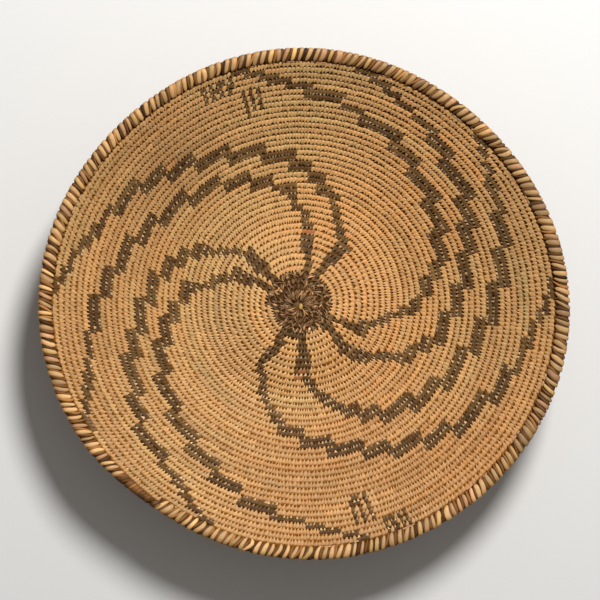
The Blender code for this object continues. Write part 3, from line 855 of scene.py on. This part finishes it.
def whip_rim(pale_splint, dark_splint):
    """The slanted wraps round the rim coil, and between each two a darker strand that is painted
    shade for the wraps' shaded sides.
    """
    rng = np.random.default_rng(23)
    around = 2 * np.pi * profile(RIM_START + RIM_WIDTH)[0]
    total = int(round(around / WRAP_PITCH))
    spots = ALL_TURNS + (np.arange(total) + 0.5 + rng.normal(0, WRAP_STRAY, total)) / total
    is_dark = spots > ALL_TURNS + 1 - DARK_STRETCH / 360
    angle = np.radians(START_ANGLE + 360 * spots)
    mean, right, far = RIM_LEVELS
    # Rim brightness: darker on the right and on the far edge
    rim_level = mean - right * np.cos(angle) - far * np.sin(angle)
    tone = (rim_level * np.exp(rng.normal(0, WRAP_TONE, total)))[:, None]
    hue = rng.random(total)[:, None]
    light = np.where(hue > 1 - PINK_WRAPS, PALE_PINK, PALE)
    light = np.where(hue < YELLOW_WRAPS, PALE_YELLOW, light)
    wide = rng.normal(*WRAP_WIDTH, total)
    lean = rng.normal(*WRAP_LEAN, total)
    strand_lean = lean + rng.normal(*STRAND_LEAN, total)
    mean, stray = STRAND_SHADE_TONE
    strand_shade = RIM_SHADE_STRAND * (mean * rim_level * np.exp(rng.normal(0, stray, total)))[:, None]
    grip = rim_grip(spots) * rng.normal(1, GRIP_STRAY, total)
    deep = rng.normal(1, STRAND_GRIP_STRAY, total)
    for name, chosen, turn, width, tilt, hold, colour, sunk, material, nodes, slot in (
            ("rim_wraps", ~is_dark, spots, wide, lean, grip, light * tone, 0,
             pale_splint, ("rim_splint",), "rim_splint"),
            ("rim_wraps_dark", is_dark, spots, wide * DARK_WIDER, lean, grip, WRAP_BROWN * tone,
             0, dark_splint, ("rim_splint_dark",), "dark_splint"),
            ("rim_shade_strands", spots > 0, spots + 0.5 / total, wide * STRAND_NARROWER, strand_lean,
             deep, strand_shade, STRAND_DEPTH, dark_splint, (), "dark_splint")):
        points, shade, grain = wraps(turn[chosen], width[chosen] / total, tilt[chosen],
                                     hold[chosen], sunk, around, rng)
        mesh_piece(name, points, ring_faces(*points.shape[:3]), colour[chosen][:, None, None],
                   shade, grain, material, nodes)


def tuck_ends(material):
    """Ends of splints that run along the rim's inner side for a little way, as flat thin strips.

    At a share t along a strip its section is scaled by the root of 1 - (2t - 1) ** 4, so that
    it shrinks to almost nothing at the two ends.
    """
    rng = np.random.default_rng(31)
    share = np.linspace(0, 1, 9)
    swell = np.sqrt(np.clip(1 - (2 * share - 1) ** 4, 0.02, 1))[:, None]
    section = np.array(TUCKED_SECTION)
    points = []
    for start, end, inward, _ in TUCKED_ENDS:
        angle = start + (end - start) * share[:, None]
        turn = ALL_TURNS + ((angle - START_ANGLE) / 360 - ALL_TURNS) % 1
        reach = coil_reach(turn) + (section[:, 0] * swell - inward) / 1000
        lift = (TUCKED_HEIGHT + section[:, 1] * swell) / 1000
        points.append(surface(reach, angle, lift))
    points = np.array(points)
    count, stations, corners = points.shape[:3]
    bright = np.array(TUCKED_ENDS)[:, 3, None]
    pink = rng.random(count)[:, None] < PINK_ENDS
    colour = np.where(pink, END_PINK, PALE) * bright
    grain = np.zeros((count, stations, corners, 2))
    grain[..., 0] = section[:, 0]
    grain[..., 1] = (share * 8)[:, None]
    mesh_piece("tucked_ends", points, strip_faces(count, stations, corners),
               colour[:, None, None], 1, grain, material, ())


def plain_floor():
    """A pale floor under the tray."""
    material, _, shader, _ = shader_tools("floor")
    shader.inputs["Base Color"].default_value = FLOOR_COLOUR
    shader.inputs["Roughness"].default_value = 0.8
    mesh = bpy.data.meshes.new("floor")
    corners = [(FLOOR_HALF * x, FLOOR_HALF * y, 0) for x, y in ((-1, -1), (1, -1), (1, 1), (-1, 1))]
    mesh.from_pydata(corners, [], [(0, 1, 2, 3)])
    mesh.materials.append(material)
    floor = bpy.data.objects.new("floor", mesh)
    bpy.context.scene.collection.objects.link(floor)


def aim(item, place, target):
    """Sets an object at a place, looking at a target, with +Y upwards in its view."""
    back = np.array(place, float) - np.array(target, float)
    back /= np.linalg.norm(back)
    right = np.cross((0, 1, 0), back)
    right /= np.linalg.norm(right)
    up = np.cross(back, right)
    matrix = np.eye(4)
    matrix[:3, 0], matrix[:3, 1], matrix[:3, 2], matrix[:3, 3] = right, up, back, place
    item.matrix_world = Matrix(matrix.tolist())


def studio():
    """Camera at the photograph's angle, a soft key light from behind the tray, an even sky."""
    sideways, forward = np.radians(CAMERA_SIDEWAYS), np.radians(CAMERA_FORWARD)
    back = np.array((-np.sin(sideways), -np.sin(forward), 1.0))
    back /= np.linalg.norm(back)
    target = np.array(CAMERA_TARGET)
    camera = bpy.data.cameras.new("camera")
    camera.lens = LENS
    camera.sensor_width = 36
    camera.clip_end = 20
    view = bpy.data.objects.new("camera", camera)
    bpy.context.scene.collection.objects.link(view)
    aim(view, target + back * CAMERA_DISTANCE, target)
    bpy.context.scene.camera = view

    key = bpy.data.lights.new("key", "AREA")
    key.shape = "DISK"
    key.size = KEY_SIZE
    key.energy = KEY_POWER
    lamp = bpy.data.objects.new("key", key)
    bpy.context.scene.collection.objects.link(lamp)
    aim(lamp, KEY_PLACE, (0, 0, 0.03))

    world = bpy.data.worlds.new("sky")
    world.use_nodes = True
    sky = world.node_tree.nodes["Background"]
    sky.inputs["Color"].default_value = SKY_COLOUR
    sky.inputs["Strength"].default_value = SKY_STRENGTH
    bpy.context.scene.world = world
    bpy.context.scene.view_settings.view_transform = "Standard"


tan_splint = splint_finish("tan_splint", roughness=0.52, grain_depth=0.00006, streak=0.14,
                           sheen=0.3)
dark_splint = splint_finish("dark_splint", roughness=0.58, grain_depth=0.00006, streak=0.22,
                            sheen=0.15)
pale_splint = splint_finish("pale_splint", roughness=0.55, grain_depth=0.00008, streak=0.18,
                            sheen=0.3)
bundle_fibre = splint_finish("bundle_fibre", roughness=0.85, grain_depth=0.00010, streak=0.25,
                             sheen=0.05)
sew_tray(tan_splint, dark_splint)
tie_knot(dark_splint)
lay_bundle(bundle_fibre)
lay_rim(bundle_fibre)
whip_rim(pale_splint, dark_splint)
tuck_ends(pale_splint)
plain_floor()
studio()
